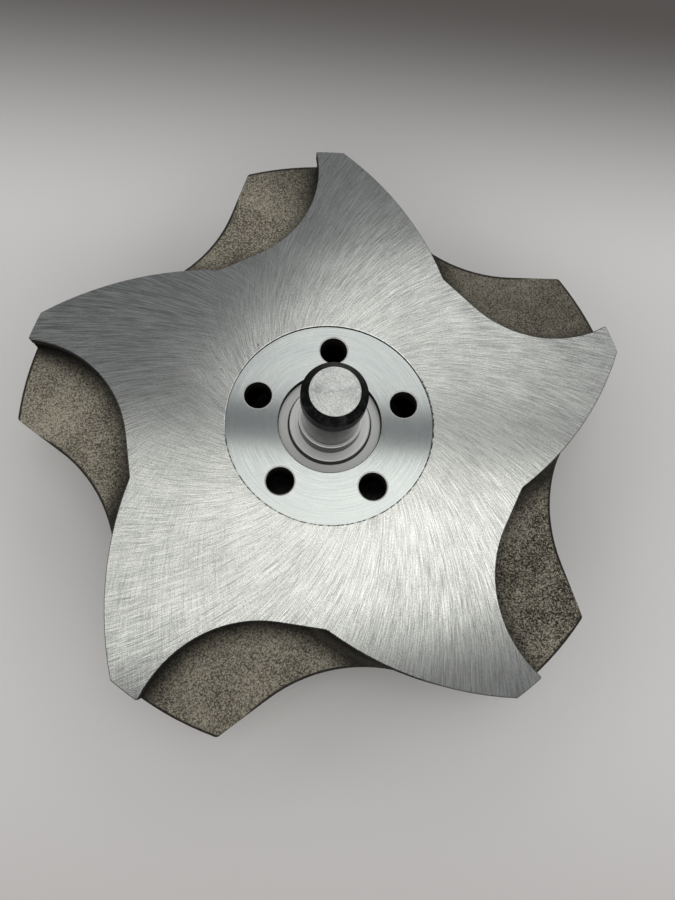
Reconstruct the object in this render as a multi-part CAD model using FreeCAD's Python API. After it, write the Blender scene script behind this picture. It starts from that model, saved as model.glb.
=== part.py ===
"""Pump rotor head: a five-vane impeller with scalloped shrouds on a stub shaft.

Millimetres. The Z axis is the rotation axis. Z = 0 is the end face of the suction ring,
on which the rotor rests, and the shaft points up. +Y passes through a balance hole.
"""
import FreeCAD, Part
import math
import os

Vector = FreeCAD.Vector
up = Vector(0, 0, 1)
axis_point = Vector(0, 0, 0)

# ---- driving dimensions -------------------------------------------------------------
vane_count = 5
outer_radius = 127.0
back_z = 42.0                   # machined back face of the impeller
first_hole_bearing = 90.0
hole_to_tip = 5.78              # from a balance hole round to its arm's trailing corner

# plan outline of an arm, bearings counted from the arm's trailing corner
leading_radius = 133.0          # convex leading edge, one arc
leading_centre = (80.6, 70.42)  # distance from the axis, bearing
trailing_radius = 47.2          # concave back of an arm
trailing_centre = (128.24, 21.3)
cusp_radius = 81.6              # where an arm's back meets the next leading edge
front_corner_bearing = 14.1     # corner of the front shroud on the outer circle
front_scallop_radius = 62.0
front_scallop_centre = (157.7, 37.9)
cusp_round = 4.0
tip_round = 0.8
edge_break = 0.35
front_corner_round = 2.0

# shrouds and the passage between them
ceiling_z = back_z - 4.0
floor_z = back_z - 10.9         # flat from the rim in to floor_flat_radius
front_rim_z = back_z - 16.0
floor_flat_radius = 72.0
eye_radius = 39.5
eye_arc_radius = 22.0           # turn from the floor into the eye
eye_turn_z = 6.0
neck_radius = 46.5
shoulder_radius = 50.0
front_turn_radius = 15.0
ring_width = 12.0
hub_nose_z = 15.0
hub_arc_radius = 26.0
hub_arc_start = 49.0            # radius at which the back shroud turns into the hub
hub_arc_drop = 1.2

# vanes
vane_thickness = 7.0
vane_nose_width = 4.5
vane_join_radius = 72.0         # inside this radius the arc tightens
vane_inner_arc = 58.0
vane_inlet_radius = 42.5
vane_root = 2.0                 # how far a vane runs into each shroud
leading_fillet = 3.5
trailing_fillet = 2.5

# hub
recess_radius = 42.0
recess_z = back_z - 0.7
seat_radius = 20.9
seat_z = back_z - 3.6
hole_circle_radius = 31.3
hole_radius = 5.7
hole_chamfer = 0.5

# shaft and the pieces on it
slide_gap = 0.02
shaft_radius = 11.7
shaft_end_z = back_z + 36.2
head_radius = 12.4
head_height = 9.2
head_face_radius = 9.3
head_edge = 0.4
thread_radius = 10.0
thread_end_z = 4.5
sleeve_radius = 12.8
sleeve_top_z = back_z + 6.7
sleeve_flange_radius = 16.3
sleeve_flange_top_z = back_z - 0.8
sleeve_chamfer = 0.3
seal_inner_radius = 14.2
seal_width = 1.7
seal_height = 1.2
key_side = 5.0
key_length = 16.0
key_low_z = 18.0
key_bottom_radius = 8.7
key_clearance = 0.2

# suction ring and fastening
ring_radius = 51.0
ring_chamfer = 0.6
lock_screw_count = 3
lock_screw_bearing = 30.0
lock_screw_radius = 2.0
lock_screw_length = 8.0
lock_screw_inset = 0.4
washer_radius = 17.4
washer_thickness = 1.5
tab_width = 6.0
tab_rise = 2.6
tab_outer_radius = 17.2
nut_flats = 30.0
nut_low_z = 1.6
nut_bore_end_z = 3.6
nut_crown = 2.2

# ---- worked out from them -----------------------------------------------------------
pitch = 360.0 / vane_count
tip_bearing = first_hole_bearing + hole_to_tip
overrun = 2.0
eye_turn_radius = eye_radius + eye_arc_radius
nut_top_z = hub_nose_z - washer_thickness
key_top_radius = key_bottom_radius + key_side
half_root = math.sqrt(0.5)


# ---- plane geometry -----------------------------------------------------------------
def at(radius, bearing, z=0.0):
    a = math.radians(bearing)
    return Vector(radius * math.cos(a), radius * math.sin(a), z)


def bearing_of(point):
    return math.degrees(math.atan2(point.y, point.x))


def meeting_point(centre_a, radius_a, centre_b, radius_b, near):
    """The crossing of two circles that lies nearer to a given point."""
    gap = centre_b - centre_a
    along = (gap.Length ** 2 + radius_a ** 2 - radius_b ** 2) / (2 * gap.Length)
    across = math.sqrt(radius_a ** 2 - along ** 2)
    foot = centre_a + gap * (along / gap.Length)
    side = Vector(-gap.y, gap.x, 0) * (across / gap.Length)
    return min((foot + side, foot - side), key=near.distanceToPoint)


def tangent_point(centre, radius, start, turn):
    """Where the line from start touches the circle; turn is +1 or -1 for its side."""
    away = start - centre
    swing = math.degrees(math.acos(radius / away.Length))
    return centre + at(radius, bearing_of(away) + turn * swing)


def arc_about(centre, radius, start, end):
    """The shorter arc about a centre from one point to another."""
    middle = (start - centre) + (end - centre)
    middle.normalize()
    return Part.Arc(start, centre + middle * radius, end).toShape()


def line(start, end):
    return Part.makeLine(start, end)


# ---- solids -------------------------------------------------------------------------
def upright(edges, low_z, high_z):
    face = Part.Face(Part.Wire(edges))
    face.translate(up * low_z)
    return face.extrude(up * (high_z - low_z))


def turned(profile):
    """Revolve a closed (r, z) profile about Z. An entry of four numbers is an arc: a
    point on it, then its end."""
    corners = [Vector(entry[-2], 0, entry[-1]) for entry in profile]
    edges = []
    for i, entry in enumerate(profile):
        if len(entry) == 4:
            through = Vector(entry[0], 0, entry[1])
            edges.append(Part.Arc(corners[i - 1], through, corners[i]).toShape())
        else:
            edges.append(line(corners[i - 1], corners[i]))
    return Part.Face(Part.Wire(edges)).revolve(axis_point, up, 360)


def cylinder(radius, low_z, high_z, centre=axis_point):
    base = Vector(centre.x, centre.y, low_z)
    return Part.makeCylinder(radius, high_z - low_z, base, up)


def tube(inner, outer, low_z, high_z):
    return cylinder(outer, low_z, high_z).cut(cylinder(inner, low_z - 1, high_z + 1))


def box(low, high):
    size = high - low
    return Part.makeBox(size.x, size.y, size.z, low)


def around(count, first_bearing, make):
    """The shapes that make(bearing) gives at equal steps round the axis."""
    return [make(first_bearing + i * 360.0 / count) for i in range(count)]


def rounded_uprights(solid, radius, corner):
    """Round the upright edge at a corner of the outline and at its equals round the axis."""
    edges = []
    for edge in solid.Edges:
        low, high = edge.Vertexes[0].Point, edge.Vertexes[-1].Point
        if math.hypot(high.x - low.x, high.y - low.y) > 0.01 or high.z == low.z:
            continue
        turn = (bearing_of(low) - bearing_of(corner) + pitch / 2) % pitch - pitch / 2
        if at(math.hypot(low.x, low.y), turn).distanceToPoint(at(corner.Length, 0)) < 0.3:
            edges.append(edge)
    return solid.makeFillet(radius, edges)


# ---- outlines of the two shrouds ----------------------------------------------------
def leading_arc_centre(tip):
    return at(leading_centre[0], tip + leading_centre[1])


def leading_point(tip, radius):
    """Point of an arm's leading edge at a distance from the axis."""
    centre = leading_arc_centre(tip)
    return meeting_point(axis_point, radius, centre, leading_radius, at(radius, tip - 20))


def rim_arc(start, end):
    return arc_about(axis_point, outer_radius, start, end)


def back_outline():
    """Star of five arms: rim, concave back, a short straight, the next leading edge."""
    edges = []
    for i in range(vane_count):
        tip = tip_bearing + i * pitch
        scallop = at(trailing_centre[0], tip + trailing_centre[1])
        back_tip = meeting_point(axis_point, outer_radius, scallop, trailing_radius,
                                 at(outer_radius, tip))
        cusp = leading_point(tip + pitch, cusp_radius)
        touch = tangent_point(scallop, trailing_radius, cusp, 1)
        next_tip = leading_point(tip + pitch, outer_radius)
        next_centre = leading_arc_centre(tip + pitch)
        edges.append(rim_arc(leading_point(tip, outer_radius), back_tip))
        edges.append(arc_about(scallop, trailing_radius, back_tip, touch))
        edges.append(line(touch, cusp))
        edges.append(arc_about(next_centre, leading_radius, cusp, next_tip))
    return edges


def front_outline():
    """Star of five broader arms: rim, a straight, a concave arc, the next vane's flank."""
    edges = []
    for i in range(vane_count):
        tip = tip_bearing + i * pitch
        scallop = at(front_scallop_centre[0], tip + front_scallop_centre[1])
        corner = at(outer_radius, tip + front_corner_bearing)
        touch = tangent_point(scallop, front_scallop_radius, corner, -1)
        next_centre = leading_arc_centre(tip + pitch)
        next_tip = leading_point(tip + pitch, outer_radius)
        root = meeting_point(scallop, front_scallop_radius, next_centre, leading_radius,
                             leading_point(tip + pitch, 100))
        edges.append(rim_arc(leading_point(tip, outer_radius), corner))
        edges.append(line(corner, touch))
        edges.append(arc_about(scallop, front_scallop_radius, touch, root))
        edges.append(arc_about(next_centre, leading_radius, root, next_tip))
    return edges


# ---- impeller casting ---------------------------------------------------------------
def back_star():
    star = upright(back_outline(), 0, back_z)
    star = rounded_uprights(star, cusp_round, leading_point(tip_bearing, cusp_radius))
    star = rounded_uprights(star, tip_round, leading_point(tip_bearing, outer_radius))
    star = rounded_uprights(star, tip_round, at(outer_radius, tip_bearing))
    top = [edge for edge in star.Edges if edge.BoundBox.ZMin > back_z - edge_break]
    return star.makeChamfer(edge_break, top)


def back_shroud():
    """Back plate and hub in one turning, cut to the star outline."""
    arc_z = ceiling_z - hub_arc_drop
    centre_z = arc_z - hub_arc_radius
    nose_r = hub_arc_start - math.sqrt(hub_arc_radius ** 2 - (hub_nose_z - centre_z) ** 2)
    middle = at(hub_arc_radius, 130)
    blank = turned([
        (0, hub_nose_z),
        (nose_r, hub_nose_z),
        (hub_arc_start + middle.x, centre_z + middle.y, hub_arc_start, arc_z),
        (outer_radius + overrun, ceiling_z),
        (outer_radius + overrun, back_z),
        (0, back_z),
    ])
    return blank.common(back_star())


def front_star():
    star = upright(front_outline(), -overrun, back_z)
    star = rounded_uprights(star, tip_round, leading_point(tip_bearing, outer_radius))
    corner = at(outer_radius, tip_bearing + front_corner_bearing)
    return rounded_uprights(star, front_corner_round, corner)


def front_shroud():
    """Front plate, eye and the neck that carries the suction ring."""
    rise = math.sqrt(front_turn_radius ** 2 - (eye_turn_radius - shoulder_radius) ** 2)
    middle = at(front_turn_radius, 115)
    blank = turned([
        (eye_radius, 0),
        (neck_radius, 0),
        (neck_radius, ring_width),
        (shoulder_radius, ring_width),
        (shoulder_radius, eye_turn_z + rise),
        (eye_turn_radius + middle.x, eye_turn_z + middle.y,
         eye_turn_radius, eye_turn_z + front_turn_radius),
        (outer_radius + overrun, front_rim_z),
        (outer_radius + overrun, floor_z),
        (floor_flat_radius, floor_z),
        (eye_turn_radius, eye_turn_z + eye_arc_radius),
        (eye_turn_radius - half_root * eye_arc_radius,
         eye_turn_z + half_root * eye_arc_radius, eye_radius, eye_turn_z),
    ])
    return blank.common(front_star())


def vane_outline(tip):
    """Plan of one vane: two concentric arcs, a tighter pair inside, a round nose."""
    centre = leading_arc_centre(tip)
    rear_radius = leading_radius - vane_thickness
    outer_front = leading_point(tip, outer_radius)
    outer_rear = meeting_point(axis_point, outer_radius, centre, rear_radius,
                               at(outer_radius, tip))
    join_front = leading_point(tip, vane_join_radius)
    outward = (join_front - centre).normalize()
    join_rear = centre + outward * rear_radius
    inner_centre = join_front - outward * vane_inner_arc
    inner_front = meeting_point(axis_point, vane_inlet_radius, inner_centre,
                                vane_inner_arc, at(vane_inlet_radius, tip - 85))
    nose_way = (inner_front - inner_centre).normalize()
    inner_rear = inner_front - nose_way * vane_nose_width
    half_way = (outward + nose_way).normalize()
    mean_width = (vane_thickness + vane_nose_width) / 2
    inner_middle = inner_centre + half_way * (vane_inner_arc - mean_width)
    onward = Vector(nose_way.y, -nose_way.x, 0)
    nose = (inner_front + inner_rear) * 0.5 + onward * (vane_nose_width / 2)
    return [
        rim_arc(outer_front, outer_rear),
        arc_about(centre, rear_radius, outer_rear, join_rear),
        Part.Arc(join_rear, inner_middle, inner_rear).toShape(),
        Part.Arc(inner_rear, nose, inner_front).toShape(),
        arc_about(inner_centre, vane_inner_arc, inner_front, join_front),
        arc_about(centre, leading_radius, join_front, outer_front),
    ]


def vane_room():
    """The passage between the shrouds, grown a little into both."""
    arc = eye_arc_radius - vane_root
    return turned([
        (eye_radius + vane_root, eye_turn_z),
        (eye_turn_radius - half_root * arc, eye_turn_z + half_root * arc,
         eye_turn_radius, eye_turn_z + arc),
        (floor_flat_radius, floor_z - vane_root),
        (outer_radius + overrun, floor_z - vane_root),
        (outer_radius + overrun, ceiling_z + vane_root),
        (eye_radius + vane_root, ceiling_z + vane_root),
    ])


def fillet_strip(tip, flank_radius, radius):
    """Concave fillet between the floor and a vane flank. A positive radius is on the
    leading flank, a negative one on the other."""
    centre = leading_arc_centre(tip)
    size = abs(radius)
    side = radius / size
    bite = size / 4
    belly = size * (1 - half_root)

    def here(reach, z):
        return Vector(centre.x + flank_radius + side * reach, centre.y, z)

    face = Part.Face(Part.Wire([
        line(here(-bite, floor_z - bite), here(size, floor_z - bite)),
        line(here(size, floor_z - bite), here(size, floor_z)),
        Part.Arc(here(size, floor_z), here(belly, floor_z + belly),
                 here(0, floor_z + size)).toShape(),
        line(here(0, floor_z + size), here(-bite, floor_z + size)),
        line(here(-bite, floor_z + size), here(-bite, floor_z - bite)),
    ]))
    first = bearing_of(leading_point(tip, outer_radius + overrun) - centre)
    last = bearing_of(leading_point(tip, floor_flat_radius) - centre)
    face.rotate(centre, up, first)
    return face.revolve(centre, up, (last - first + 180) % 360 - 180)


def vanes():
    room = vane_room().common(back_star())
    star = front_star()
    made = []
    for i in range(vane_count):
        tip = tip_bearing + i * pitch
        made.append(upright(vane_outline(tip), 0, back_z).common(room))
        leading = fillet_strip(tip, leading_radius, leading_fillet)
        trailing = fillet_strip(tip, leading_radius - vane_thickness, -trailing_fillet)
        made.append(leading.common(star))
        made.append(trailing.common(star))
    return made


def balance_hole(bearing):
    centre = at(hole_circle_radius, bearing)
    mouth = Part.makeCone(hole_radius, hole_radius + 2 * hole_chamfer, 2 * hole_chamfer,
                          Vector(centre.x, centre.y, recess_z - hole_chamfer), up)
    return cylinder(hole_radius, hub_nose_z, back_z, centre).fuse(mouth)


def lock_screw_hole(bearing):
    centre = at(neck_radius, bearing)
    return cylinder(lock_screw_radius + slide_gap, -1, lock_screw_length + 1, centre)


def key_room(side, top_radius, low_z, high_z):
    """A block over the axis, out to a radius along +Y."""
    return box(Vector(-side / 2, 0, low_z), Vector(side / 2, top_radius, high_z))


def washer_tab(gap, low_z, high_z, inner, outer):
    """The washer's tabs stand on the -Y side."""
    return box(Vector(-tab_width / 2 - gap, -outer - gap, low_z),
               Vector(tab_width / 2 + gap, -inner + gap, high_z))


def impeller_casting():
    body = back_shroud().fuse([front_shroud()] + vanes())
    seal_outer = seal_inner_radius + seal_width
    cutters = [
        cylinder(recess_radius, recess_z, back_z + 1),
        cylinder(seat_radius, seat_z, back_z + 1),
        cylinder(shaft_radius + slide_gap, 0, back_z + 1),
        tube(seal_inner_radius, seal_outer, seat_z - seal_height, seat_z + 1),
        key_room(key_side + slide_gap, key_top_radius + key_clearance, 0, seat_z + 1),
        washer_tab(key_clearance, hub_nose_z - 1, hub_nose_z + tab_rise + key_clearance,
                   tab_outer_radius - washer_thickness, tab_outer_radius),
    ]
    cutters += around(vane_count, first_hole_bearing, balance_hole)
    cutters += around(lock_screw_count, lock_screw_bearing, lock_screw_hole)
    return body.cut(cutters)


# ---- suction ring and its lock screws -----------------------------------------------
def suction_ring():
    ring = turned([
        (neck_radius + slide_gap, 0),
        (ring_radius - ring_chamfer, 0),
        (ring_radius, ring_chamfer),
        (ring_radius, ring_width),
        (neck_radius + slide_gap, ring_width),
    ])
    return ring.cut(around(lock_screw_count, lock_screw_bearing, lock_screw_hole))


def hexagon(flats, low_z, high_z):
    points = [at(flats / math.sqrt(3), 30 + 60 * i, low_z) for i in range(7)]
    return Part.Face(Part.makePolygon(points)).extrude(up * (high_z - low_z))


def lock_screw(bearing):
    """Headless screw with a hexagon socket at its lower end."""
    length = lock_screw_length
    screw = turned([
        (0, lock_screw_inset),
        (lock_screw_radius, lock_screw_inset),
        (lock_screw_radius, length - 1),
        (lock_screw_radius - 1, length),
        (0, length),
    ])
    screw = screw.cut(hexagon(lock_screw_radius, 0, lock_screw_inset + 2))
    screw.translate(at(neck_radius, bearing))
    return screw


# ---- shaft, sleeve, seal and key ----------------------------------------------------
def stub_shaft():
    """Thread, key seat, plain body, and a head with a broad chamfer."""
    head_low = shaft_end_z - head_height
    shaft = turned([
        (0, thread_end_z),
        (thread_radius - 1, thread_end_z),
        (thread_radius, thread_end_z + 1),
        (thread_radius, hub_nose_z),
        (shaft_radius, hub_nose_z + shaft_radius - thread_radius),
        (shaft_radius, head_low),
        (head_radius, head_low + head_edge),
        (head_radius, shaft_end_z - (head_radius - head_face_radius)),
        (head_face_radius, shaft_end_z),
        (0, shaft_end_z),
    ])
    key_end = key_low_z + key_length
    seat = box(Vector(-key_side / 2, key_bottom_radius, key_low_z),
               Vector(key_side / 2, shaft_radius + 1, key_end))
    return shaft.cut(seat)


def drive_key():
    return box(Vector(-key_side / 2, key_bottom_radius, key_low_z),
               Vector(key_side / 2, key_top_radius, key_low_z + key_length))


def locating_sleeve():
    """Flanged sleeve on the shaft; its flange sits in the hub's counterbore."""
    bore = shaft_radius + slide_gap
    return turned([
        (bore, seat_z),
        (sleeve_flange_radius, seat_z),
        (sleeve_flange_radius, sleeve_flange_top_z - sleeve_chamfer),
        (sleeve_flange_radius - sleeve_chamfer, sleeve_flange_top_z),
        (sleeve_radius, sleeve_flange_top_z),
        (sleeve_radius, sleeve_top_z - sleeve_chamfer),
        (sleeve_radius - sleeve_chamfer, sleeve_top_z),
        (bore, sleeve_top_z),
    ])


def sleeve_seal():
    """O-ring pressed flat in its groove: a flat-sided ring with round edges."""
    half = seal_height / 2
    inner = seal_inner_radius + slide_gap
    outer = seal_inner_radius + seal_width - slide_gap
    low = seat_z - seal_height
    return turned([
        (outer, low + half, outer - half, seat_z),
        (inner + half, seat_z),
        (inner, low + half, inner + half, low),
        (outer - half, low),
    ])


# ---- nut and washer -----------------------------------------------------------------
def tab_washer():
    """Flat washer with one tab up into the hub nose and one down on a nut flat."""
    disc = tube(thread_radius + slide_gap, washer_radius, nut_top_z, hub_nose_z)
    inner = tab_outer_radius - washer_thickness
    raised = washer_tab(0, nut_top_z, hub_nose_z + tab_rise, inner, tab_outer_radius)
    half = nut_flats / 2
    lowered = box(Vector(half, -tab_width / 2, nut_top_z - 4),
                  Vector(half + washer_thickness, tab_width / 2, hub_nose_z))
    return disc.fuse([raised, lowered]).removeSplitter()


def impeller_nut():
    """Closed hexagon nut, its crown turned to a cone."""
    corner = nut_flats / math.sqrt(3)
    crown = turned([
        (0, nut_low_z),
        (corner - 2 * nut_crown, nut_low_z),
        (corner, nut_low_z + nut_crown),
        (corner, nut_top_z),
        (0, nut_top_z),
    ])
    bore = cylinder(thread_radius + slide_gap, nut_bore_end_z, nut_top_z + 1)
    return hexagon(nut_flats, nut_low_z, nut_top_z).common(crown).cut(bore)


# ---- write the pieces ---------------------------------------------------------------
def group(shapes):
    return Part.makeCompound(shapes)


pieces = {
    "impeller_casting": impeller_casting(),
    "suction_ring": suction_ring(),
    "suction_ring_lock_screws": group(around(lock_screw_count, lock_screw_bearing,
                                             lock_screw)),
    "stub_shaft": stub_shaft(),
    "locating_sleeve": locating_sleeve(),
    "sleeve_seal": sleeve_seal(),
    "drive_key": drive_key(),
    "tab_washer": tab_washer(),
    "impeller_nut": impeller_nut(),
}

os.makedirs("parts", exist_ok=True)
for name, shape in pieces.items():
    shape.exportStep("parts/" + name + ".step")
    print(name, "solids", len(shape.Solids), "valid", shape.isValid(),
          "volume", round(shape.Volume))
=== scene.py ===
import math
import bpy
from mathutils import Matrix, Vector

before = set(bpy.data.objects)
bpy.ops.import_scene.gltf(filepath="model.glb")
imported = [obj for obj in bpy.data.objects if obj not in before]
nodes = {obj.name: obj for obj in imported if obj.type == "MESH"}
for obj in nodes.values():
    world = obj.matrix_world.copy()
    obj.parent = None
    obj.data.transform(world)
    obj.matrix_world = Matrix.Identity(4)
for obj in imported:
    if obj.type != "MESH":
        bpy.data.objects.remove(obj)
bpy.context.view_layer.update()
scene = bpy.context.scene
scene.view_settings.view_transform = "Standard"
print("frame loaded:", len(nodes), "pieces")

# camera: close above the shaft's end and a little to the front, turned slightly
cameraSet = {"place": (-0.0098, -0.0879, 0.3199), "aim": (0.0036, -0.0116, 0.042),
             "rollDegrees": 13.2, "lensMm": 28.9, "clip": (0.01, 30)}


def makeCamera(s):
    data = bpy.data.cameras.new("camera")
    data.lens = s["lensMm"]
    data.clip_start, data.clip_end = s["clip"]
    camera = bpy.data.objects.new("camera", data)
    scene.collection.objects.link(camera)
    look = (Vector(s["aim"]) - Vector(s["place"])).to_track_quat("-Z", "Y")
    roll = Matrix.Rotation(math.radians(s["rollDegrees"]), 4, "Z")
    camera.matrix_world = Matrix.Translation(s["place"]) @ look.to_matrix().to_4x4() @ roll
    scene.camera = camera


makeCamera(cameraSet)


class Graph:
    # shorthand for wiring nodes: a value may be a number, a tuple or another node's output
    def __init__(self, tree):
        self.tree = tree

    def link(self, value, socket):
        self.tree.links.new(value, socket)

    def node(self, kind, inputs=None, **settings):
        n = self.tree.nodes.new(kind)
        for name, value in settings.items():
            setattr(n, name, value)
        for key, value in (inputs or {}).items():
            if isinstance(value, bpy.types.NodeSocket):
                self.link(value, n.inputs[key])
            else:
                n.inputs[key].default_value = value
        return n

    def math(self, operation, *values, clamp=False):
        return self.node("ShaderNodeMath", dict(enumerate(values)), operation=operation,
                         use_clamp=clamp).outputs[0]

    def vector(self, operation, *values):
        n = self.node("ShaderNodeVectorMath", dict(enumerate(values)), operation=operation)
        return n.outputs[1 if operation in ("LENGTH", "DOT_PRODUCT") else 0]

    def scaled(self, value, by):
        n = self.node("ShaderNodeVectorMath", {0: value, "Scale": by}, operation="SCALE")
        return n.outputs[0]

    def parts(self, vector):
        return self.node("ShaderNodeSeparateXYZ", {0: vector}).outputs

    def joined(self, x, y, z):
        return self.node("ShaderNodeCombineXYZ", {0: x, 1: y, 2: z}).outputs[0]

    def smooth(self, value, low, high, start=0.0, end=1.0):
        inputs = {"Value": value, "From Min": low, "From Max": high, "To Min": start,
                  "To Max": end}
        return self.node("ShaderNodeMapRange", inputs,
                         interpolation_type="SMOOTHSTEP").outputs[0]

    def step(self, value, at, soft, start=0.0, end=1.0):
        return self.smooth(value, at - soft, at + soft, start, end)

    def band(self, value, low, high, soft):
        return self.math("MULTIPLY", self.step(value, low, soft),
                         self.step(value, high, soft, 1.0, 0.0))

    def mix(self, share, a, b):
        n = self.node("ShaderNodeMix", data_type="RGBA")
        for index, value in ((0, share), (6, a), (7, b)):
            if isinstance(value, bpy.types.NodeSocket):
                self.link(value, n.inputs[index])
            elif index:
                n.inputs[index].default_value = (*value, 1)
            else:
                n.inputs[index].default_value = value
        return n.outputs[2]

    def blend(self, share, a, b):
        return self.node("ShaderNodeMix", {0: share, 2: a, 3: b}).outputs[0]

    def noise(self, vector, scale, detail=2.0, roughness=0.5, output="Fac"):
        inputs = {"Vector": vector, "Scale": scale, "Detail": detail, "Roughness": roughness}
        return self.node("ShaderNodeTexNoise", inputs).outputs[output]

    def warped(self, vector, scale, by):
        return self.vector("ADD", vector,
                           self.scaled(self.noise(vector, scale, output="Color"), by))

    def cells(self, vector, scale):
        # distance to the nearest seed, and that seed's own random numbers
        seeds = self.node("ShaderNodeTexVoronoi", {"Vector": vector, "Scale": scale}).outputs
        chances = self.node("ShaderNodeSeparateColor", {0: seeds["Color"]}).outputs
        return seeds["Distance"], chances

    def centred(self, value, by):
        # a value that runs from 0 to 1, made to swing about 0
        return self.math("MULTIPLY", self.math("SUBTRACT", value, 0.5), by)

    def group(self, tree, inputs):
        return self.node("ShaderNodeGroup", inputs, node_tree=tree).outputs


# light: pale walls, and a ceiling that is dark but for two lamps, one behind the other.
# Places on the ceiling are sideways and depth, per unit of height.
roomSet = {"walls": (1.07, 1.06, 1.05), "horizon": (0.16, 0.16, 0.165),
           "ceiling": (0.172, 0.178, 0.184), "front": (0.05, 0.045, 0.043),
           "rear": (0.35, 0.35, 0.345),
           "lowest": 0.05, "wallsFrom": (0.18, 0.42), "overheadFrom": (0.60, 0.74),
           "frontFrom": (-0.60, -0.28), "ceilingFrom": (-0.20, -0.08),
           "nearEdge": 0.015, "cornerEdge": 0.04,
           "nearLamp": {"side": (-0.80, 0.17, 0.95), "depth": (-0.01, 0.275),
                        "soft": 0.008, "slant": 0.20, "corner": -2.0,
                        "tone": (1.33, 1.34, 1.28)},
           "farLamp": {"side": (-0.50, 0.05, 0.75), "depth": (0.345, 0.60),
                       "soft": 0.03, "slant": 0.0, "corner": -0.52,
                       "tone": (1.02, 1.03, 1.0)}}


def lampMask(g, s, lamp, side, depth):
    # a lamp fades to both sides, has a slanted near edge and may have one corner cut off
    first, last = lamp["depth"]
    left, middle, right = lamp["side"]
    slanted = g.math("MULTIPLY_ADD", side, lamp["slant"], first)
    near = g.step(g.math("SUBTRACT", depth, slanted), 0.0, s["nearEdge"])
    far = g.step(depth, last, lamp["soft"], 1.0, 0.0)
    across = g.math("MULTIPLY", g.smooth(side, left, middle),
                    g.smooth(side, middle, right, 1.0, 0.0))
    corner = g.math("SUBTRACT", g.math("SUBTRACT", side, depth), lamp["corner"])
    across = g.math("MULTIPLY", across, g.step(corner, 0.0, s["cornerEdge"]))
    return g.math("MULTIPLY", across, g.math("MULTIPLY", near, far))


def makeRoom(s):
    world = bpy.data.worlds.new("room")
    scene.world = world
    world.use_nodes = True
    g = Graph(world.node_tree)
    way = g.parts(g.node("ShaderNodeTexCoord").outputs["Generated"])
    up = g.math("MAXIMUM", way[2], s["lowest"])
    side = g.math("DIVIDE", way[0], up)
    depth = g.math("DIVIDE", way[1], up)
    tone = g.mix(g.smooth(way[2], *s["wallsFrom"]), s["horizon"], s["walls"])
    above = g.mix(g.smooth(depth, *s["frontFrom"]), s["rear"], s["front"])
    above = g.mix(g.smooth(depth, *s["ceilingFrom"]), above, s["ceiling"])
    tone = g.mix(g.smooth(way[2], *s["overheadFrom"]), tone, above)
    for lamp in (s["nearLamp"], s["farLamp"]):
        tone = g.mix(lampMask(g, s, lamp, side, depth), tone, lamp["tone"])
    g.link(tone, g.tree.nodes["Background"].inputs["Color"])


makeRoom(roomSet)

# floor: pale, with painted shade far behind the part and a little painted shade close to the
# camera
floorSet = {"half": 3.0, "tone": (0.95, 0.94, 0.93), "farShadeTone": (0.12, 0.11, 0.105),
            "nearShadeTone": (0.74, 0.69, 0.69), "fade": (0.10, 0.27), "nearFade": (-0.26, -0.10),
            "roughness": 0.7}


def makeFloor(s):
    h = s["half"]
    mesh = bpy.data.meshes.new("floor")
    mesh.from_pydata([(-h, -h, 0), (h, -h, 0), (h, h, 0), (-h, h, 0)], [], [(0, 1, 2, 3)])
    floor = bpy.data.objects.new("floor", mesh)
    scene.collection.objects.link(floor)
    material = bpy.data.materials.new("paleFloor")
    material.use_nodes = True
    g = Graph(material.node_tree)
    shader = material.node_tree.nodes["Principled BSDF"]
    depth = g.parts(g.node("ShaderNodeTexCoord").outputs["Object"])[1]
    tone = g.mix(g.smooth(depth, *s["nearFade"]), s["nearShadeTone"], s["tone"])
    tone = g.mix(g.smooth(depth, *s["fade"]), tone, s["farShadeTone"])
    g.link(tone, shader.inputs["Base Color"])
    shader.inputs["Roughness"].default_value = s["roughness"]
    mesh.materials.append(material)


makeFloor(floorSet)
print("room and floor made")


# effects shared by the materials; noises are scale, detail and roughness
def newEffect(name, inputs, outputs):
    tree = bpy.data.node_groups.new(name, "ShaderNodeTree")
    for label, default in inputs.items():
        kind = "NodeSocketVector" if default is None else "NodeSocketFloat"
        socket = tree.interface.new_socket(label, in_out="INPUT", socket_type=kind)
        if default is not None:
            socket.default_value = default
    for label in outputs:
        tree.interface.new_socket(label, in_out="OUTPUT", socket_type="NodeSocketFloat")
    start = tree.nodes.new("NodeGroupInput").outputs
    end = tree.nodes.new("NodeGroupOutput").inputs
    return Graph(tree), start, end


def millimetres(g, place):
    # place on the part in millimetres, its distance from the axis and the way outwards
    mm = g.scaled(place, 1000.0)
    part = g.parts(mm)
    flat = g.joined(part[0], part[1], 0.0)
    return {"all": mm, "x": part[0], "y": part[1], "height": part[2], "flat": flat,
            "reach": g.vector("LENGTH", flat), "outwards": g.vector("NORMALIZE", flat)}


sandingSet = {"inputs": {"Place": None, "Twist": 0.8, "Fineness": 160.0, "Length": 0.03},
              "noise": (1.0, 4.0, 0.65)}


def makeSanding(s):
    # lines that leave the hub on a spiral: noise that is fine round the axis, long outwards
    g, start, end = newEffect("sandingLines", s["inputs"], ["Lines"])
    at = millimetres(g, start["Place"])
    turn = g.math("MULTIPLY", start["Twist"], g.math("LOGARITHM", at["reach"], math.e))
    turned = g.node("ShaderNodeVectorRotate", {"Vector": at["outwards"], "Angle": turn},
                    rotation_type="Z_AXIS").outputs[0]
    part = g.parts(g.scaled(turned, start["Fineness"]))
    along = g.math("MULTIPLY", at["reach"], start["Length"])
    g.link(g.noise(g.joined(part[0], part[1], along), *s["noise"]), end["Lines"])
    return g.tree


turningSet = {"inputs": {"Place": None, "Fineness": 5.0, "Waver": 0.5},
              "noise": (1.0, 3.0, 0.6)}


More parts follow.
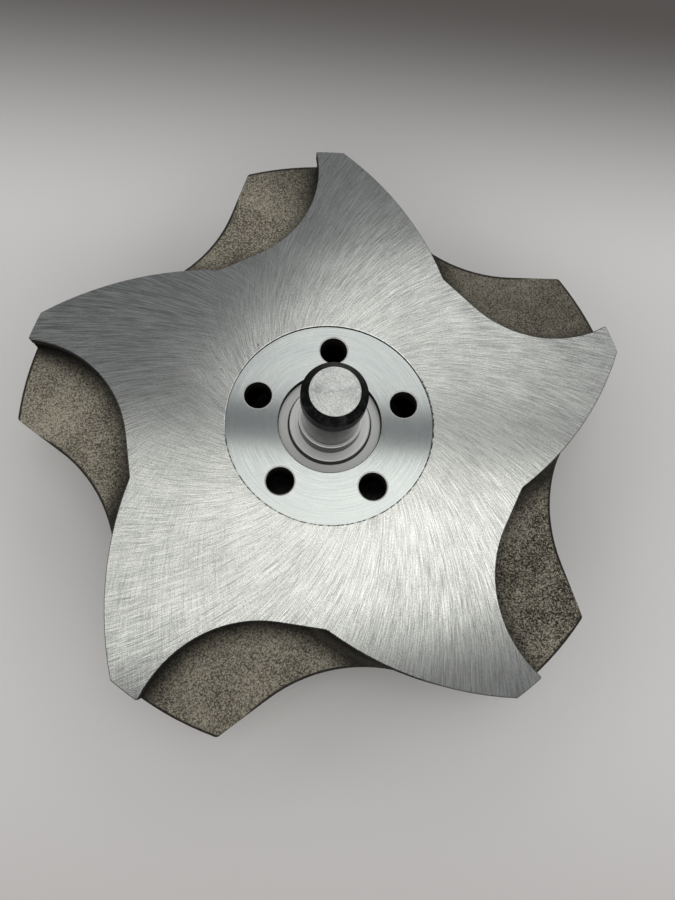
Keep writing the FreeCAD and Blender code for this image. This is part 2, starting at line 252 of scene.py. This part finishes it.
def makeTurning(s):
    # tool lines round the axis, a little uneven along their way
    g, start, end = newEffect("turningLines", s["inputs"], ["Lines"])
    at = millimetres(g, start["Place"])
    across = g.math("MULTIPLY", g.math("ADD", at["reach"], at["height"]), start["Fineness"])
    part = g.parts(g.scaled(at["outwards"], start["Waver"]))
    g.link(g.noise(g.joined(part[0], part[1], across), *s["noise"]), end["Lines"])
    return g.tree


castSkinSet = {"inputs": {"Place": None, "Grain": 1.6, "Pits": 0.5},
               "grain": (3.0, 0.7), "grainHeight": 0.5, "lumps": (0.22, 2.0, 0.5),
               "warpScale": 1.6, "warp": 0.7, "pitScale": 1.9, "pitGrowth": 1.1,
               "pitEdge": 0.14, "pitDepth": 0.5, "crowding": (0.08, 3.0, 0.6),
               "crowdRange": (0.36, 0.66, -0.16, 0.16), "fineShare": 0.84,
               "broadTone": (0.05, 2.0, 0.5), "fineTone": (1.5, 3.0, 0.85)}


def makeCastSkin(s):
    # sand-cast skin: soft lumps under a fine grain, and small dark pits
    g, start, end = newEffect("castSkin", s["inputs"], ["Height", "Pits", "Tone"])
    mm = g.scaled(start["Place"], 1000.0)
    away, chances = g.cells(g.warped(mm, s["warpScale"], s["warp"]), s["pitScale"])
    crowd = g.smooth(g.noise(mm, *s["crowding"]), *s["crowdRange"])
    limit = g.math("ADD", start["Pits"], crowd)
    size = g.math("MULTIPLY", g.math("SUBTRACT", limit, chances[0]), s["pitGrowth"], clamp=True)
    pits = g.smooth(g.math("SUBTRACT", size, away), 0.0, s["pitEdge"])
    grain = g.math("MULTIPLY", g.noise(mm, start["Grain"], *s["grain"]), s["grainHeight"])
    rise = g.math("ADD", grain, g.noise(mm, *s["lumps"]))
    g.link(g.math("SUBTRACT", rise, g.math("MULTIPLY", pits, s["pitDepth"])), end["Height"])
    g.link(pits, end["Pits"])
    g.link(g.blend(s["fineShare"], g.noise(mm, *s["broadTone"]), g.noise(mm, *s["fineTone"])),
           end["Tone"])
    return g.tree


nicksSet = {"inputs": {"Place": None, "Spacing": 14.0, "Size": 0.35},
            "warpScale": 0.9, "warp": 1.2, "sizes": (0.45, 1.0, 0.0, 1.6), "edge": 0.15}


def makeNicks(s):
    # a few small marks and specks, far apart
    g, start, end = newEffect("nicks", s["inputs"], ["Marks"])
    mm = g.scaled(start["Place"], 1000.0)
    away, chances = g.cells(g.warped(mm, s["warpScale"], s["warp"]),
                            g.math("DIVIDE", 1.0, start["Spacing"]))
    away = g.math("MULTIPLY", away, start["Spacing"])
    size = g.math("MULTIPLY", start["Size"], g.smooth(chances[1], *s["sizes"]))
    g.link(g.smooth(g.math("SUBTRACT", size, away), 0.0, s["edge"]), end["Marks"])
    return g.tree


effects = {"sanding": makeSanding(sandingSet), "turning": makeTurning(turningSet),
           "cast": makeCastSkin(castSkinSet), "nicks": makeNicks(nicksSet)}
print("shared effects made")


def newMaterial(name, **fixed):
    material = bpy.data.materials.new(name)
    material.use_nodes = True
    shader = material.node_tree.nodes["Principled BSDF"]
    for label, value in fixed.items():
        shader.inputs[label].default_value = value
    g = Graph(material.node_tree)
    place = g.node("ShaderNodeTexCoord").outputs["Object"]
    return material, g, shader, place


bumpSet = {"Strength": 1.0, "Distance": 0.001}


def finishMaterial(g, shader, color, roughness, height, metallic=None):
    normal = g.node("ShaderNodeBump", {"Height": height, **bumpSet}).outputs[0]
    for label, value in (("Base Color", color), ("Roughness", roughness),
                         ("Normal", normal), ("Metallic", metallic)):
        if value is not None:
            g.link(value, shader.inputs[label])


def leanOf(g):
    # 1 where the surface faces up, 0 where it stands upright
    return g.parts(g.node("ShaderNodeNewGeometry").outputs["True Normal"])[2]


# impeller casting: sanded back face, turned recess, cast skin, dark walls.
# Reaches and heights are millimetres; a cut is its distance, bearing and radius.
castingSet = {
    "specular": 0.2,
    "level": (0.35, 0.6), "upright": (0.25, 0.6, 1.0, 0.0), "chamfer": (0.75, 0.9),
    "backFrom": 40.6, "backSoft": 0.2, "hubReach": 45.0, "hubReachSoft": 0.1,
    "hubFrom": 38.0, "hubFromSoft": 0.2, "recessReach": 42.0, "recessSoft": 0.05,
    "seatReach": 20.9, "seatSoft": 0.1, "gapReach": 17.1,
    "backCut": (128.24, 117.08, 47.2), "frontCut": (157.7, 133.68, 62.0), "outerReach": 127.0,
    # families of sanding lines: twist, fineness, length
    "families": {"main": (0.62, 340.0, 0.11), "second": (0.50, 200.0, 0.12),
                 "crossing": (-0.9, 260.0, 0.13), "level": (-0.40, 270.0, 0.09)},
    "secondShare": 0.45, "upperLeft": (-0.93, 0.37, 0.0), "upperLeftFrom": (42.0, 78.0),
    "crossingLeft": (-130.0, -30.0, 0.16, -0.08), "crossingPatches": (0.03, 3.0),
    "crossingShare": (0.46, 0.74, 0.04, 0.36), "grainShare": 0.25, "grain": (2.1, 2.0, 0.7),
    "brightStrokes": (0.55, 0.68, 0.0, 0.30), "darkStrokes": (0.32, 0.45, 0.28, 0.0),
    "patches": (0.045, 4.0, 0.6), "patchStrength": 0.55, "lineRange": (0.38, 0.62),
    "sanded": ((0.35, 0.354, 0.345), (0.91, 0.915, 0.89)),
    "turning": {"Fineness": 6.0, "Waver": 2.6}, "sandedShare": 0.45,
    "turned": ((0.51, 0.54, 0.545), (0.64, 0.665, 0.66)), "seat": (0.93, 0.94, 0.92),
    "nicks": {"Spacing": 17.0, "Size": 0.42}, "nickShare": 0.8, "nickDepth": 0.04,
    "mark": (0.10, 0.10, 0.09),
    # edges of the machined faces, with painted shade and painted highlight
    "edgeDark": (0.02, 0.019, 0.018), "edgeLight": (0.98, 0.98, 0.96), "brokenShare": 0.8,
    "brokenFade": 1.0, "stepShadingWidth": 0.45, "stepShadingSoft": 0.1, "stepLitWay": (-0.35, 0.94, 0.0),
    "stepLitFrom": (0.1, 0.3), "stepShadingNoise": (0.5, 3.0, 0.6),
    "stepShadingRange": (0.42, 0.55, 0.25, 1.0), "seatDirtAndShade": (-0.1, 0.2, 0.1),
    "gapDirtAndShade": (-0.8, 0.0, 0.25), "holeFade": 1.0,
    # cast skin
    "skinGrain": 2.4, "rightWay": (0.86, -0.51, 0.0), "pitted": (55.0, 95.0, 0.12, 0.85),
    "skinRange": (0.39, 0.64), "cast": ((0.080, 0.073, 0.056), (0.60, 0.55, 0.44)),
    "pit": (0.025, 0.02, 0.016), "pitShare": 0.85, "upperRightShadeWay": (0.64, 0.77, 0.0),
    "upperRightShade": (50.0, 85.0, 0.0, 0.5), "shade": (0.035, 0.032, 0.027),
    "overhangShade": (-2.0, 9.5, 0.94, 0.0), "frontRim": (-1.3, -0.6, 0.0, 0.95),
    "outerRim": (-1.2, -0.6, 0.0, 0.95), "wallRange": (0.35, 0.7),
    "wall": ((0.006, 0.005, 0.0045), (0.032, 0.027, 0.024)),
    # shine and relief
    "sandedRough": (0.35, 0.65, 0.20, 0.13), "turnedRough": (0.35, 0.65, 0.13, 0.07),
    "satinRough": 0.4, "castRough": (0.38, 0.62, 0.55, 0.34), "wallRough": 0.85,
    "castMetal": 0.8, "wallMetal": 0.0, "faceMetal": 1.0, "satinMetal": 0.25,
    "sandedDepth": 0.012, "turnedDepth": 0.005, "skinDepth": 0.36}


def insideCut(g, at, away, bearing, radius):
    # how far a place lies inside the nearest of five equal round cuts
    half = math.pi / 5
    turn = g.math("SUBTRACT", g.math("ARCTAN2", at["y"], at["x"]), math.radians(bearing))
    turn = g.math("WRAP", turn, half, -half)
    across = g.math("MULTIPLY", at["reach"], g.math("SINE", turn))
    along = g.math("SUBTRACT", g.math("MULTIPLY", at["reach"], g.math("COSINE", turn)), away)
    apart = g.joined(across, along, 0.0)
    return g.math("SUBTRACT", radius, g.vector("LENGTH", apart))


def sandedFace(g, s, place, at):
    # families of lines that cross softly, over a fine even grain
    family = {}
    for name, (twist, fineness, length) in s["families"].items():
        family[name] = g.group(effects["sanding"], {"Place": place, "Twist": twist,
                                                    "Fineness": fineness, "Length": length})[0]
    leftward = g.smooth(g.math("ADD", at["x"], at["y"]), *s["crossingLeft"])
    crossing = g.math("ADD", g.noise(at["all"], *s["crossingPatches"]), leftward)
    upperLeft = g.vector("DOT_PRODUCT", at["flat"], s["upperLeft"])
    main = g.blend(s["secondShare"], family["main"], family["second"])
    main = g.blend(g.smooth(upperLeft, *s["upperLeftFrom"]), main, family["level"])
    lines = g.blend(g.smooth(crossing, *s["crossingShare"]), main, family["crossing"])
    lines = g.blend(s["grainShare"], lines, g.noise(at["all"], *s["grain"]))
    strokes = g.math("SUBTRACT", g.smooth(main, *s["brightStrokes"]),
                     g.smooth(main, *s["darkStrokes"]))
    tone = g.math("ADD", g.smooth(lines, *s["lineRange"]), strokes)
    patch = g.centred(g.noise(at["all"], *s["patches"]), s["patchStrength"])
    tone = g.math("ADD", tone, patch, clamp=True)
    return lines, g.mix(tone, *s["sanded"])


def turnedFace(g, s, place, lines, inSeat):
    turnLines = g.group(effects["turning"], {"Place": place, **s["turning"]})[0]
    turnLines = g.blend(s["sandedShare"], turnLines, lines)
    turned = g.mix(g.smooth(turnLines, *s["lineRange"]), *s["turned"])
    return turnLines, g.mix(inSeat, turned, s["seat"])


def edgedFace(g, s, at, lean, face):
    reach, recess = at["reach"], s["recessReach"]
    # the broken edge of the back face is painted dark: a painted shade line along the outline
    broken = g.math("MULTIPLY", g.smooth(lean, *s["chamfer"], s["brokenShare"], 0.0),
                    g.smooth(reach, s["hubReach"], s["hubReach"] + s["brokenFade"]))
    face = g.mix(broken, face, s["edgeDark"])
    # the recess's step edge gets a painted highlight on the far side and painted shade on the
    # near side
    stepShading = g.band(reach, recess, recess + s["stepShadingWidth"], s["stepShadingSoft"])
    farSide = g.smooth(g.vector("DOT_PRODUCT", at["outwards"], s["stepLitWay"]),
                       *s["stepLitFrom"])
    uneven = g.smooth(g.noise(at["all"], *s["stepShadingNoise"]), *s["stepShadingRange"])
    face = g.mix(g.math("MULTIPLY", stepShading, uneven), face,
                 g.mix(farSide, s["edgeDark"], s["edgeLight"]))
    # dirt and painted shade lie round the seat and in the gap at the sleeve's flange
    rings = []
    for ring, dirt in ((s["seatReach"], s["seatDirtAndShade"]), (s["gapReach"], s["gapDirtAndShade"])):
        inner, outer, soft = dirt
        rings.append(g.band(reach, ring + inner, ring + outer, soft))
    face = g.mix(g.math("MAXIMUM", *rings), face, s["edgeDark"])
    # the holes' edges get a painted highlight
    holeEdge = g.math("MULTIPLY", g.smooth(lean, *s["chamfer"], 1.0, 0.0),
                      g.smooth(reach, recess - s["holeFade"], recess, 1.0, 0.0))
    return holeEdge, g.mix(holeEdge, face, s["edgeLight"])


def castFace(g, s, place, at, upright):
    # the skin is more pitted to the right, and has painted shade to the upper right
    pitted = g.smooth(g.vector("DOT_PRODUCT", at["flat"], s["rightWay"]), *s["pitted"])
    skin = g.group(effects["cast"], {"Place": place, "Grain": s["skinGrain"], "Pits": pitted})
    rough = g.mix(g.smooth(skin["Tone"], *s["skinRange"]), *s["cast"])
    rough = g.mix(g.math("MULTIPLY", skin["Pits"], s["pitShare"]), rough, s["pit"])
    upperRightShade = g.smooth(g.vector("DOT_PRODUCT", at["flat"], s["upperRightShadeWay"]), *s["upperRightShade"])
    rough = g.mix(upperRightShade, rough, s["shade"])
    # painted shade close to the back shroud's round cuts, under their overhang, and a painted
    # dark outline along the front shroud's own rim
    overhangShade = g.smooth(insideCut(g, at, *s["backCut"]), *s["overhangShade"])
    rim = g.smooth(insideCut(g, at, *s["frontCut"]), *s["frontRim"])
    low, high, start, end = s["outerRim"]
    rim = g.math("MAXIMUM", rim, g.smooth(at["reach"], s["outerReach"] + low,
                                          s["outerReach"] + high, start, end))
    rough = g.mix(g.math("MAXIMUM", overhangShade, rim), rough, s["shade"])
    # upright walls are near black: dark, dirty cast skin with painted shade
    wall = g.mix(g.smooth(skin["Tone"], *s["wallRange"]), *s["wall"])
    return skin, g.mix(upright, rough, wall)


def makeCasting(s):
    material, g, shader, place = newMaterial("castingMetal",
                                             **{"Specular IOR Level": s["specular"]})
    at = millimetres(g, place)
    lean = leanOf(g)
    onBack = g.step(at["height"], s["backFrom"], s["backSoft"])
    inHub = g.math("MULTIPLY", g.smooth(at["reach"], s["hubReach"],
                                        s["hubReach"] + s["hubReachSoft"], 1.0, 0.0),
                   g.smooth(at["height"], s["hubFrom"], s["hubFrom"] + s["hubFromSoft"]))
    machined = g.math("MULTIPLY", g.smooth(lean, *s["level"]),
                      g.math("MAXIMUM", onBack, inHub))
    inRecess = g.step(at["reach"], s["recessReach"], s["recessSoft"], 1.0, 0.0)
    inSeat = g.step(at["reach"], s["seatReach"], s["seatSoft"], 1.0, 0.0)
    upright = g.smooth(g.math("ABSOLUTE", lean), *s["upright"])

    lines, sanded = sandedFace(g, s, place, at)
    turnLines, turned = turnedFace(g, s, place, lines, inSeat)
    marks = g.group(effects["nicks"], {"Place": place, **s["nicks"]})[0]
    face = g.mix(g.math("MULTIPLY", marks, s["nickShare"]),
                 g.mix(inRecess, sanded, turned), s["mark"])
    holeEdge, face = edgedFace(g, s, at, lean, face)
    satin = g.math("MAXIMUM", inSeat, holeEdge)
    skin, under = castFace(g, s, place, at, upright)

    faceRough = g.blend(satin, g.smooth(turnLines, *s["turnedRough"]), s["satinRough"])
    faceRough = g.blend(inRecess, g.smooth(lines, *s["sandedRough"]), faceRough)
    castRough = g.blend(upright, g.smooth(skin["Tone"], *s["castRough"]), s["wallRough"])
    metallic = g.blend(machined, g.blend(upright, s["castMetal"], s["wallMetal"]),
                       g.blend(satin, s["faceMetal"], s["satinMetal"]))
    tall = g.blend(inRecess, g.math("MULTIPLY", lines, s["sandedDepth"]),
                   g.math("MULTIPLY", turnLines, s["turnedDepth"]))
    tall = g.math("SUBTRACT", tall, g.math("MULTIPLY", marks, s["nickDepth"]))
    height = g.blend(machined, g.math("MULTIPLY", skin["Height"], s["skinDepth"]), tall)
    finishMaterial(g, shader, g.mix(machined, under, face),
                   g.blend(machined, castRough, faceRough), height, metallic)
    return material


# turned and ground pieces: what they share, then what each has of its own
turnedShared = {"metal": 1.0, "waver": 0.8, "lineRange": (0.3, 0.7), "stain": (0.12, 3.0, 0.6),
                "stainStrength": 0.8, "upright": (0.2, 0.5, 1.0, 0.0),
                "nicks": {"Spacing": 7.0, "Size": 0.22}, "mark": (0.12, 0.12, 0.11),
                "nickShare": 0.6, "nickDepth": 0.03}
turnedSet = {
    "locating_sleeve": {"tones": ((0.78, 0.79, 0.78), (0.96, 0.97, 0.96)),
                        "rough": (0.36, 0.28), "fineness": 4.5, "depth": 0.003,
                        "sides": (0.03, 0.026, 0.024), "metal": 0.3},
    "suction_ring": {"tones": ((0.50, 0.50, 0.49), (0.74, 0.74, 0.73)),
                     "rough": (0.32, 0.2), "fineness": 3.0, "depth": 0.014},
    "impeller_nut": {"tones": ((0.48, 0.48, 0.48), (0.70, 0.70, 0.70)),
                     "rough": (0.36, 0.22), "fineness": 3.0, "depth": 0.014},
    "tab_washer": {"tones": ((0.55, 0.55, 0.54), (0.72, 0.72, 0.71)),
                   "rough": (0.36, 0.26), "fineness": 2.0, "depth": 0.006},
    "drive_key": {"tones": ((0.42, 0.42, 0.41), (0.60, 0.60, 0.59)),
                  "rough": (0.4, 0.28), "fineness": 2.0, "depth": 0.006},
    "suction_ring_lock_screws": {"tones": ((0.20, 0.20, 0.20), (0.38, 0.38, 0.37)),
                                 "rough": (0.5, 0.35), "fineness": 3.0, "depth": 0.01},
}


def makeTurned(name, s):
    material, g, shader, place = newMaterial(name + "Metal", Metallic=s["metal"])
    lines = g.group(effects["turning"], {"Place": place, "Fineness": s["fineness"],
                                         "Waver": s["waver"]})[0]
    marks = g.group(effects["nicks"], {"Place": place, **s["nicks"]})[0]
    stain = g.centred(g.noise(g.scaled(place, 1000.0), *s["stain"]), s["stainStrength"])
    tone = g.math("ADD", g.smooth(lines, *s["lineRange"]), stain, clamp=True)
    color = g.mix(tone, *s["tones"])
    if "sides" in s:
        upright = g.smooth(g.math("ABSOLUTE", leanOf(g)), *s["upright"])
        color = g.mix(upright, color, s["sides"])
    color = g.mix(g.math("MULTIPLY", marks, s["nickShare"]), color, s["mark"])
    height = g.math("SUBTRACT", g.math("MULTIPLY", lines, s["depth"]),
                    g.math("MULTIPLY", marks, s["nickDepth"]))
    finishMaterial(g, shader, color, g.smooth(lines, *s["lineRange"], *s["rough"]), height)
    return material


# stub shaft: bright end face, a head band painted black as a painted reflection of the dark
# room, and a neck painted dark as a painted reflection
shaftSet = {"endFrom": 78.05, "endSoft": 0.08, "headFrom": 69.0, "headSoft": 0.1,
            "turning": {"Fineness": 4.0, "Waver": 1.0}, "lineRange": (0.3, 0.7),
            "stain": (0.35, 4.0, 0.65), "stainStrength": 1.0, "grain": (1.3, 3.0, 0.7),
            "grainShare": 0.65, "end": ((0.54, 0.55, 0.54), (0.86, 0.87, 0.86)),
            "sideReflectionTone": (0.30, 0.31, 0.32), "sideReflectionFrom": (0.88, 1.0), "sideReflectionRange": (0.35, 0.6),
            "sideReflectionShare": 0.6,
            "head": ((0.010, 0.010, 0.011), (0.05, 0.05, 0.05)), "headRange": (0.45, 0.8),
            "neck": ((0.10, 0.10, 0.10), (0.20, 0.195, 0.19)), "neckRange": (0.3, 0.7),
            "endRough": (0.3, 0.2), "headRough": 0.38, "neckRough": (0.2, 0.12),
            "sideDepth": 0.003, "endDepth": 0.012}


def makeShaft(s):
    material, g, shader, place = newMaterial("shaftMetal", Metallic=1.0)
    at = millimetres(g, place)
    lines = g.group(effects["turning"], {"Place": place, **s["turning"]})[0]
    stain = g.noise(at["all"], *s["stain"])
    fine = g.blend(s["grainShare"], lines, g.noise(at["all"], *s["grain"]))
    endTone = g.math("ADD", g.smooth(fine, *s["lineRange"]),
                     g.centred(stain, s["stainStrength"]), clamp=True)
    end = g.mix(endTone, *s["end"])
    # a painted dark reflection in a fan either side of the centre, as a turned face shows
    sideways = g.parts(g.vector("ABSOLUTE", at["outwards"]))[0]
    sideReflection = g.math("MULTIPLY", g.smooth(sideways, *s["sideReflectionFrom"]), g.smooth(stain, *s["sideReflectionRange"]))
    end = g.mix(g.math("MULTIPLY", sideReflection, s["sideReflectionShare"]), end, s["sideReflectionTone"])
    head = g.mix(g.smooth(stain, *s["headRange"]), *s["head"])
    neck = g.mix(g.smooth(stain, *s["neckRange"]), *s["neck"])
    onEnd = g.smooth(at["height"], s["endFrom"], s["endFrom"] + s["endSoft"])
    onHead = g.step(at["height"], s["headFrom"], s["headSoft"])
    sideRough = g.blend(onHead, g.smooth(lines, *s["lineRange"], *s["neckRough"]),
                        s["headRough"])
    roughness = g.blend(onEnd, sideRough, g.smooth(lines, *s["lineRange"], *s["endRough"]))
    height = g.math("MULTIPLY", lines, g.blend(onEnd, s["sideDepth"], s["endDepth"]))
    finishMaterial(g, shader, g.mix(onEnd, g.mix(onHead, neck, head), end), roughness, height)
    return material


sealSet = {"grain": (2.5, 3.0, 0.6), "tones": ((0.012, 0.012, 0.012), (0.035, 0.034, 0.033)),
           "rough": (0.3, 0.7, 0.7, 0.5), "depth": 0.02}


def makeSealRubber(s):
    material, g, shader, place = newMaterial("sealRubber")
    grain = g.noise(g.scaled(place, 1000.0), *s["grain"])
    finishMaterial(g, shader, g.mix(grain, *s["tones"]), g.smooth(grain, *s["rough"]),
                   g.math("MULTIPLY", grain, s["depth"]))
    return material


def dress(node, material):
    piece = nodes[node]
    piece.data.materials.clear()
    piece.data.materials.append(material)


dress("impeller_casting", makeCasting(castingSet))
dress("stub_shaft", makeShaft(shaftSet))
dress("sleeve_seal", makeSealRubber(sealSet))
for node, own in turnedSet.items():
    dress(node, makeTurned(node, {**turnedShared, **own}))
print("materials made")
